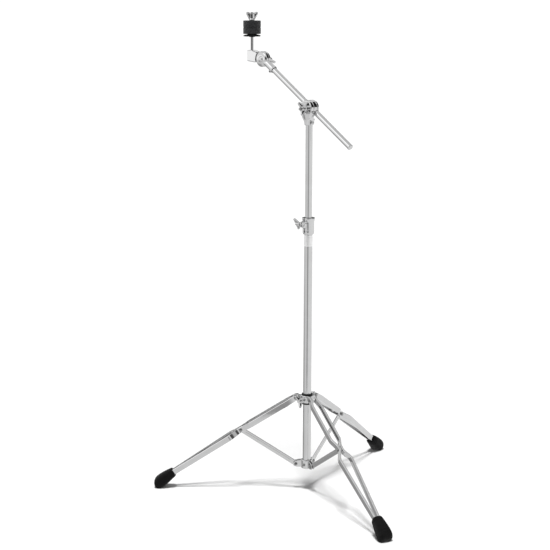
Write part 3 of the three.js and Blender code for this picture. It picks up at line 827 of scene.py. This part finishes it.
def build_leg(number):
    leg = "leg_%d" % number
    lug, pinch = at(leg + "_fold"), at("brace_%d_fold" % number)
    along = (pinch - lug).normalized()
    sideways = axis_of(leg + "_fold")
    link = (pinch - lug).length
    place = frame_at(lug, along, sideways)
    for name, side in (("_rail_left", 1), ("_rail_right", -1)):
        piece(leg + name, leg, leg_rail(side, link), place, CHROME)
    rivet = along_y(domed_rivet(2.3, 4, 6.5, 1.6)).shifted(link)
    piece(leg + "_pinch_rivet", leg, rivet, place, STEEL)
    rivet = along_y(domed_rivet(3, 4.9, 9.5, 1.8))
    piece(leg + "_pivot_rivet", leg, rivet, place, STEEL)
    piece(leg + "_foot", leg, rubber_foot(place), Matrix.Identity(4), RUBBER)

    spoke = MAST @ Matrix.Rotation(math.radians(SPOKES[number - 1]), 4, "Z")
    low = spoke @ Vector((PIVOT_RADIUS, 0, BRACE_PIVOT_Z))
    place = frame_at(pinch, (low - pinch).normalized(), sideways)
    bar = brace_bar((low - pinch).length)
    piece("brace_%d" % number, "brace_%d_arm" % number, bar, place, CHROME)
    rivet = along_y(domed_rivet(2.3, 4, 4.2, 1.5)).shifted(PIVOT_RADIUS, 0, BRACE_PIVOT_Z)
    piece("brace_%d_rivet" % number, "mast", rivet, spoke, STEEL)
    fixing = along_x(lathe([(0, 7.4), (1.8, 7.4), (1.8, 12.95), (3.4, 12.95), (3.4, 13.4),
                            (2.9, 14.1), (1.8, 14.5), (0, 14.6)], 32))
    place = MAST @ Matrix.Rotation(math.radians(SPOKES[number - 1] + 60), 4, "Z")
    place = place @ Matrix.Translation((0, 0, BRACE_PIVOT_Z))
    piece("collar_tube_rivet_%d" % number, "mast", fixing, place, STEEL)


# ---------- boom tilter ----------
def build_boom_tilter():
    radius, top = MIDDLE_TUBE["radius"], MIDDLE_TUBE["top"]
    socket = spun([(0, top - 11), (9.7, top - 11), (10.3, top - 9.4), (11.8, top - 1),
                   (14, top + 7), (15.5, top + 13), (15.5, top + 18), (0, top + 18)], 1.2, 72)
    outline = [(-3, -37), (3, -37), (5, -28), (10.5, -20), (DRUM_RADIUS, 0), (-DRUM_RADIUS, 0),
               (-10.5, -20), (-5, -28)]
    neck = plate([(x, z + HINGE_Z) for x, z in outline], CHEEK_FACE, CHEEK_BACK, 4, 1.2)
    cheek = along_y(rod(DRUM_RADIUS, CHEEK_FACE, CHEEK_BACK, 64, 1.6)).shifted(z=HINGE_Z)
    drum_space = along_y(rod(DRUM_RADIUS + 0.5, -30, CHEEK_FACE, 64, 0.05)).shifted(z=HINGE_Z)
    boom_space = block((-30, -30, top + 2.5), (30, -0.6, HINGE_Z), 0.05)
    tube_space = rod(radius + 0.1, top - 20, top + 0.3, 64, 0.05)
    stud_space = along_y(rod(3.8, -5, 20, 32, 0.05)).shifted(z=HINGE_Z)
    key_space = along_x(rod(2.5, 4, 30, 24, 0.05)).shifted(z=top - 5).turned(KEY_COMPASS)
    slot = block((0, -0.6, top - 14), (30, 0.6, top + 1), 0.05).turned(SLOT_COMPASS)
    body = cut(joined(socket, neck, cheek), drum_space, boom_space, tube_space, stud_space,
               key_space, slot)
    body = cast(body, 0.5, 5)
    teeth = along_minus_y(crown_teeth(9, 14.4, 0.5)).shifted(0, CHEEK_FACE + 0.1, HINGE_Z)
    piece("boom_tilter_base", "upper_mast", body + teeth, HEAD, CAST_CHROME)
    screw = along_x(key_screw(radius + 0.2, 12.4, 4.5)).turned(KEY_COMPASS).shifted(z=top - 5)
    piece("boom_base_key_screw", "upper_mast", screw, HEAD, CHROME)


def build_boom_clamp():
    bore = along_x(rod(BOOM_TUBE["radius"] + 0.25, -30, 30, 64, 0.05)).shifted(y=BOOM_SIDE)
    eye_space = along_x(rod(EYE["space"], -4, 4, 64, 0.05)).shifted(y=BOOM_SIDE)
    stud_space = along_y(rod(3.8, -5, 5, 32, 0.05))
    drum = along_y(rod(DRUM_RADIUS, BOOM_SIDE + GAP, CHEEK_FACE - GAP - 0.1, 72, 1.0))
    saddle = cast(cut(drum, bore, eye_space, stud_space), 0.5, 4)
    piece("boom_saddle", "boom_clamp", saddle, BOOM, CAST_CHROME)

    start, depth = -BOOM_SIDE + GAP, 10.2
    dome = [(0, start), (DRUM_RADIUS, start), (DRUM_RADIUS, start + 3.8), (17.4, start + 5.6),
            (15.8, start + 7.6), (12.4, start + 9.3), (7.5, start + 10.1), (0, start + depth)]
    hood = cut(along_minus_y(spun(dome, 1.2, 72)), bore, eye_space)
    piece("boom_hood", "boom_clamp", cast(hood, 0.5, 4), BOOM, CAST_CHROME)

    eye = tube(BOOM_TUBE["radius"] + 0.25, EYE["outer"], -3.5, 3.5, 64, 0.8)
    eye = along_x(eye).shifted(y=BOOM_SIDE)
    stud = along_y(threaded(3.5, 1.25, 1.2, 31))
    piece("boom_eye_bolt", "boom_clamp", eye + stud, BOOM, STEEL)

    nut = along_y(wing_nut(31, 18, 6.4, 5, 3.2)).turned(BOOM_NUT_TURN, "Y")
    nut = nut.shifted(y=CHEEK_BACK + 0.4)
    piece("boom_wing_nut", "boom_nut", nut, BOOM, CAST_CHROME)


# ---------- boom ----------
def build_boom():
    radius, wall = BOOM_TUBE.values()
    body = along_x(tube(radius - wall, radius, -BOOM_REAR + 3, BOOM_FRONT, 96))
    piece("boom_tube", "boom", body, ARM, CHROME)
    inner = radius - wall - 0.1
    cap = [(0, 0), (radius - 1.6, 0), (radius + 0.1, 0.8), (radius + 0.4, 1.6),
           (radius + 0.4, 2.7), (inner, 2.7), (inner, 14), (0, 14)]
    cap = spun([(r, z - BOOM_REAR) for r, z in cap], 0.6)
    piece("boom_end_cap", "boom", along_x(cap), ARM, CHROME)


def ratchet_disc():
    """One disc of the cymbal tilter along +Z: flat at the hinge, a low dome outside."""
    return spun([(0, GAP + 0.5), (RATCHET_RADIUS, GAP + 0.5), (RATCHET_RADIUS, 4.9), (17, 6.3),
                 (15.6, 7.4), (13, 8.3), (9.6, 8.85), (6, 9), (0, 9)], 0.7, 96)


def build_cymbal_tilter():
    start, tube_end = SOCKET_START - TILTER_REACH, BOOM_FRONT - TILTER_REACH
    sleeve = along_x(spun(
        [(0, start), (7.6, start), (8.5, start + 1.2), (8.5, start + 3), (8, start + 4),
         (8, tube_end - 4), (8.6, tube_end + 2), (8.6, tube_end + 8), (0, tube_end + 8)], 0.6, 72))
    bore = along_x(rod(BOOM_TUBE["radius"] + 0.15, start - 5, tube_end + GAP, 64, 0.05))
    upper_space = along_y(rod(RATCHET_RADIUS + 1, -12, GAP + 0.5, 64, 0.05))
    bolt_space = along_y(rod(3.7, -5, 20, 32, 0.05))
    key_space = rod(2.5, -20, 0, 24, 0.05).shifted(start + 9)
    mouth = along_x(rod(BOOM_TUBE["radius"] + 1.1, start - 5, start + 2.4, 64, 0.05))
    body = cut(joined(sleeve, along_y(ratchet_disc())), upper_space, bore, mouth, bolt_space,
               key_space)
    teeth = along_minus_y(crown_teeth(10, 17.2, 0.55)).shifted(y=GAP + 0.6)
    piece("tilter_socket", "boom", cast(body, 0.5, 4) + teeth, TILTER, CAST_CHROME)
    screw = key_screw(BOOM_TUBE["radius"] + 0.2, 9.2, 3).turned(180, "X").shifted(start + 9)
    piece("tilter_key_screw", "boom", screw, TILTER, STEEL)

    head = lathe([(0, -11.5), (2, -11.45), (4, -11.2), (5.5, -10.7), (6.5, -10), (6.8, -9.3),
                  (3.2, -9.3), (3.2, 0), (0, 0)], 48)
    bolt = head + threaded(3.4, 1.25, -1, 26)
    piece("cymbal_hinge_bolt", "boom", along_minus_y(bolt), TILTER, CHROME)

    nut = along_minus_y(wing_nut(34, 17, 6, 4.8, 3.1)).turned(CYMBAL_NUT_TURN, "Y").shifted(y=-9.3)
    piece("cymbal_wing_nut", "cymbal_nut", nut, TILTER, CAST_CHROME)

    end, front, top = ROD_BLOCK.values()
    arm = plate([(0, -15.5), (14, -10), (24, -7.5), (24, 17), (10, 14), (0, 16)],
                -9, -GAP - 0.5, 2, 1.2)
    head = plate([(12, -5), (20, -8), (end, -5.5), (end, top), (29, top), (20, 16), (12, 9.5)],
                 -9, front, 2.2, 1.4)
    lower_space = along_y(rod(RATCHET_RADIUS + 0.7, -GAP - 0.5, 12, 64, 0.05))
    rod_space = rod(ROD["radius"] + 0.15, ROD["bottom"] - GAP, 25, 48, 0.05).shifted(ROD_REACH)
    bolt_space = along_y(rod(3.7, -20, 5, 32, 0.05))
    body = joined(along_minus_y(ratchet_disc()), arm, head)
    body = cut(body, lower_space, rod_space, bolt_space)
    teeth = along_y(crown_teeth(10, 17.2, 0.55)).turned(5, "Y").shifted(y=-GAP - 0.6)
    piece("rod_block", "cymbal_tilter", cast(body, 0.5, 5) + teeth, UPRIGHT, CAST_CHROME)


def build_cymbal_seat():
    radius, bottom, top = ROD.values()
    plain = rod(radius, bottom, 51, 48, 0.4)
    screw = threaded(radius, 1.25, 50, top, 48)
    piece("cymbal_rod", "cymbal_tilter", plain + screw, ROD_FRAME, CHROME)

    hole, high = radius + GAP, FELT["bottom"] - GAP
    cup = [(hole, -6.8), (6, -6.8), (7.5, -5.2), (13, -4.6), (19, -5.4), (19.5, -4.6),
           (19.4, -2.7), (12, -1), (9.5, 0), (hole, 0), (hole, -6.8)]
    cup = spun([(r, high + z) for r, z in cup], 0.5, 96)
    piece("seat_washer", "cymbal_tilter", cup, ROD_FRAME, NYLON)
    low, high = FELT["bottom"], FELT["bottom"] + 2 * FELT["thickness"]
    sleeve = tube(radius + 0.2, 6, low, high - 1.7, 48)
    piece("rod_sleeve", "cymbal_tilter", sleeve, ROD_FRAME, NYLON)

    for level, name, body in ((0, "lower_felt", "cymbal_tilter"), (1, "upper_felt", "felt_on_top")):
        made = piece(name, body, felt_washer(level), ROD_FRAME, WOOL)

    nut = wing_nut(27.7, 19, 6.2, 4.8, radius + 0.15, 0.86).turned(TOP_NUT_TURN)
    nut = nut.shifted(z=high + 2 * GAP)
    piece("top_wing_nut", "top_nut", nut, ROD_FRAME, CAST_CHROME)


def felt_washer(level):
    """A thick felt ring with soft worn rims and a matted, uneven skin."""
    radius, hole, thickness, bottom = FELT.values()
    low = bottom + level * (thickness + GAP)
    high = low + thickness
    profile = [(hole, low), (radius - 0.5, low), (radius, low + 0.8), (radius, high - 0.8),
               (radius - 1, high), (hole, high), (hole, low)]
    corners = softened(profile, 1, 5)
    fine = []
    for (r0, z0), (r1, z1) in zip(corners, corners[1:]):
        parts = max(1, round(math.hypot(r1 - r0, z1 - z0) / 0.8))
        fine += [(r0 + (r1 - r0) * k / parts, z0 + (z1 - z0) * k / parts) for k in range(parts)]
    shape = lathe([*fine, fine[0]], 160)
    for v in shape.verts:
        out = Vector((v.x, v.y, 0)).normalized()
        lumps = noise.noise(v * 0.28 + Vector((level * 9, 0, 0)))
        nap = noise.noise(v * 1.6)
        reach = 0.16 * lumps + 0.1 * nap
        if math.hypot(v.x, v.y) > hole + 1:
            v += out * reach
    return shape


# ---------- studio ----------
CAMERA = {"place": (0.14575, -2.9958, 1.1235), "yaw": -2.622, "pitch": 11.596, "roll": 0.146}
FOCAL_SHARE = 1358 / 550  # focal length over the width of the picture
SENSOR = 36.0


def build_camera():
    yaw, pitch = math.radians(CAMERA["yaw"]), math.radians(CAMERA["pitch"])
    ahead = Vector((math.sin(yaw) * math.cos(pitch), math.cos(yaw) * math.cos(pitch),
                    -math.sin(pitch)))
    right = Vector((math.cos(yaw), -math.sin(yaw), 0))
    turn = Matrix.Rotation(math.radians(CAMERA["roll"]), 3, ahead)
    right = turn.inverted() @ right
    up = right.cross(ahead)
    data = bpy.data.cameras.new("camera")
    data.sensor_width, data.lens = SENSOR, SENSOR * FOCAL_SHARE
    camera = in_scene("camera", data)
    camera.matrix_world = Matrix((right, up, -ahead)).transposed().to_4x4()
    camera.location = CAMERA["place"]
    bpy.context.scene.camera = camera


def build_floor():
    mesh = bpy.data.meshes.new("floor")
    sides, radius = 96, 9
    verts = [compass(360 * k / sides) * radius for k in range(sides)]
    mesh.from_pydata(verts, [], [list(range(sides))])
    floor = in_scene("floor", mesh)
    look = Look("pale_floor", 0, (0.86, 0.86, 0.86), 0.9)
    cloud = look.noise(2.5, 3)
    colour = look.tones(cloud, (0.3, (0.85, 0.85, 0.85)), (0.7, (0.87, 0.87, 0.87)))
    mesh.materials.append(look.finish(Base_Color=colour, Specular_IOR_Level=0.1))
    floor.visible_glossy = False


# Reflections: a pale floor, dimmer at the back left and in a stripe below the viewer; pale walls
# with a bright sheet on the left, a dark window on the right, and dark strips behind and in
# front; a dark viewer, a soft ceiling and a key light. A share is how much of the light a
# patch takes away, and the sheet's is negative because it adds light. The camera sees WHITE
# around the object, and AMBIENT is the light from all round on dull surfaces and the floor.
FLOOR_GLOW = {"middle": 0.96, "lean": 0.08}
STRIPE = {"compass": -98, "inner": 9, "outer": 20, "share": 0.54, "lowest": -16.7}
CORNER = {"compass": 160, "inner": 14, "outer": 32, "share": 0.5, "from": -9, "to": -17}
WALL = {"glow": 1.05, "bottom": -3.6}
SHEET = {"compass": -177, "inner": 12, "outer": 24, "share": -0.35, "bottom": -8, "top": 3}
WINDOW = {"compass": 20, "inner": 32, "outer": 48, "share": 0.98, "bottom": 10, "top": 47}
BACKDROP = {"compass": 92, "inner": 22, "outer": 32, "share": 0.88, "bottom": -1.5, "top": 22}
FRONT = {"compass": -95, "inner": 42, "outer": 58, "share": 0.9, "bottom": -4.5, "top": 11}
VIEWER = {"compass": -95, "inner": 16, "outer": 30, "share": 1.0, "bottom": -4.5, "top": 28}
CEILING = {"glow": 0.8, "bottom": 48}
KEY = {"compass": -141, "height": 38, "inner": 14, "outer": 24, "glow": 0.7}
WHITE = 1.05
AMBIENT = 0.27
OVERHEAD = {"spread": 12, "strength": 3.23, "lean": (13.1, -2.5)}


def build_world():
    """White to the camera, an even glow on dull surfaces, and the studio above in reflections."""
    world = bpy.data.worlds.new("studio")
    world.use_nodes = True
    world.node_tree.nodes.clear()
    nodes = Nodes(world.node_tree)

    def plus(a, b):
        return nodes.combine("ADD", a, b)

    def times(a, b):
        return nodes.combine("MULTIPLY", a, b)

    def one_less(a):
        return nodes.combine("SUBTRACT", 1.0, a)

    def ramp(value, start, end, low, high):
        return nodes.ramp(value, start, end, low, high, "SMOOTHSTEP")

    def rise(degrees):
        return math.sin(math.radians(degrees))

    def above(degrees, under, over, low=0, high=1):
        """low below that height and high above it, with a soft edge from under it to over it."""
        return ramp(height, rise(degrees) - under, rise(degrees) + over, low, high)

    def toward(ray, direction, patch, amount):
        """The amount within the patch's inner degrees of the direction, 0 beyond its outer ones."""
        facing = nodes.combine("DOT_PRODUCT", ray, direction.normalized(), kind="VectorMath",
                               output=1)
        start, end = (math.cos(math.radians(patch[side])) for side in ("outer", "inner"))
        return ramp(facing, start, end, 0, amount)

    def beside(patch):
        return toward(level, compass(patch["compass"]), patch, patch["share"])

    ray = nodes.node("TexCoord").outputs["Generated"]
    level = nodes.combine("MULTIPLY", ray, (1, 1, 0), kind="VectorMath")
    level = nodes.combine("NORMALIZE", level, kind="VectorMath")
    height = nodes.node("SeparateXYZ", Vector=ray).outputs["Z"]
    rightwards = nodes.node("SeparateXYZ", Vector=level).outputs["X"]

    dim = times(beside(STRIPE), above(STRIPE["lowest"], 0, 0.008))
    corner = ramp(height, rise(CORNER["to"]), rise(CORNER["from"]), 1, 0)
    corner = times(beside(CORNER), corner)
    floor = plus(times(rightwards, FLOOR_GLOW["lean"]), FLOOR_GLOW["middle"])
    floor = times(times(one_less(dim), floor), one_less(corner))

    wall = WALL["glow"]
    for patch in (SHEET, WINDOW, BACKDROP, FRONT, VIEWER):
        tall = times(above(patch["bottom"], 0.02, 0.02), above(patch["top"], 0.03, 0.05, 1, 0))
        wall = times(wall, one_less(times(beside(patch), tall)))
    overhead = above(CEILING["bottom"], 0.05, 0.08)
    ceiling = plus(times(wall, one_less(overhead)), times(overhead, CEILING["glow"]))
    key = compass(KEY["compass"]) * math.cos(math.radians(KEY["height"]))
    key.z = rise(KEY["height"])
    room = plus(ceiling, toward(ray, key, KEY, KEY["glow"]))
    over_floor = above(WALL["bottom"], 0.012, 0.012)
    studio = plus(times(room, over_floor), times(floor, one_less(over_floor)))

    paths = nodes.node("LightPath").outputs
    shine, seen = paths["Is Glossy Ray"], paths["Is Camera Ray"]
    rest = nodes.combine("SUBTRACT", one_less(shine), seen)
    strength = plus(times(studio, shine), times(WHITE, seen))
    strength = plus(strength, times(rest, AMBIENT))
    background = nodes.node("Background", Color=(1, 1, 1, 1), Strength=strength)
    nodes.node("OutputWorld", Surface=background.outputs[0])
    bpy.context.scene.world = world


def build_lights():
    """One broad soft light from nearly straight above."""
    data = bpy.data.lights.new("overhead", "SUN")
    data.energy = OVERHEAD["strength"]
    data.angle = math.radians(OVERHEAD["spread"])
    lamp = in_scene("overhead", data)
    lamp.rotation_euler = [math.radians(x) for x in (*OVERHEAD["lean"], 0)]
    lamp.visible_glossy = False


# ---------- assembly ----------
SPOKES = []
for number in (1, 2, 3):
    outwards = at("leg_%d_fold" % number) - mast_axis
    SPOKES.append(math.degrees(math.atan2(outwards.y, outwards.x)))

build_camera()
build_floor()
build_world()
build_lights()
build_mast()
build_height_clamp()
build_leg_collar()
for number in (1, 2, 3):
    build_leg(number)
build_boom_tilter()
build_boom_clamp()
build_boom()
build_cymbal_tilter()
build_cymbal_seat()

bpy.context.scene.view_settings.view_transform = "Standard"
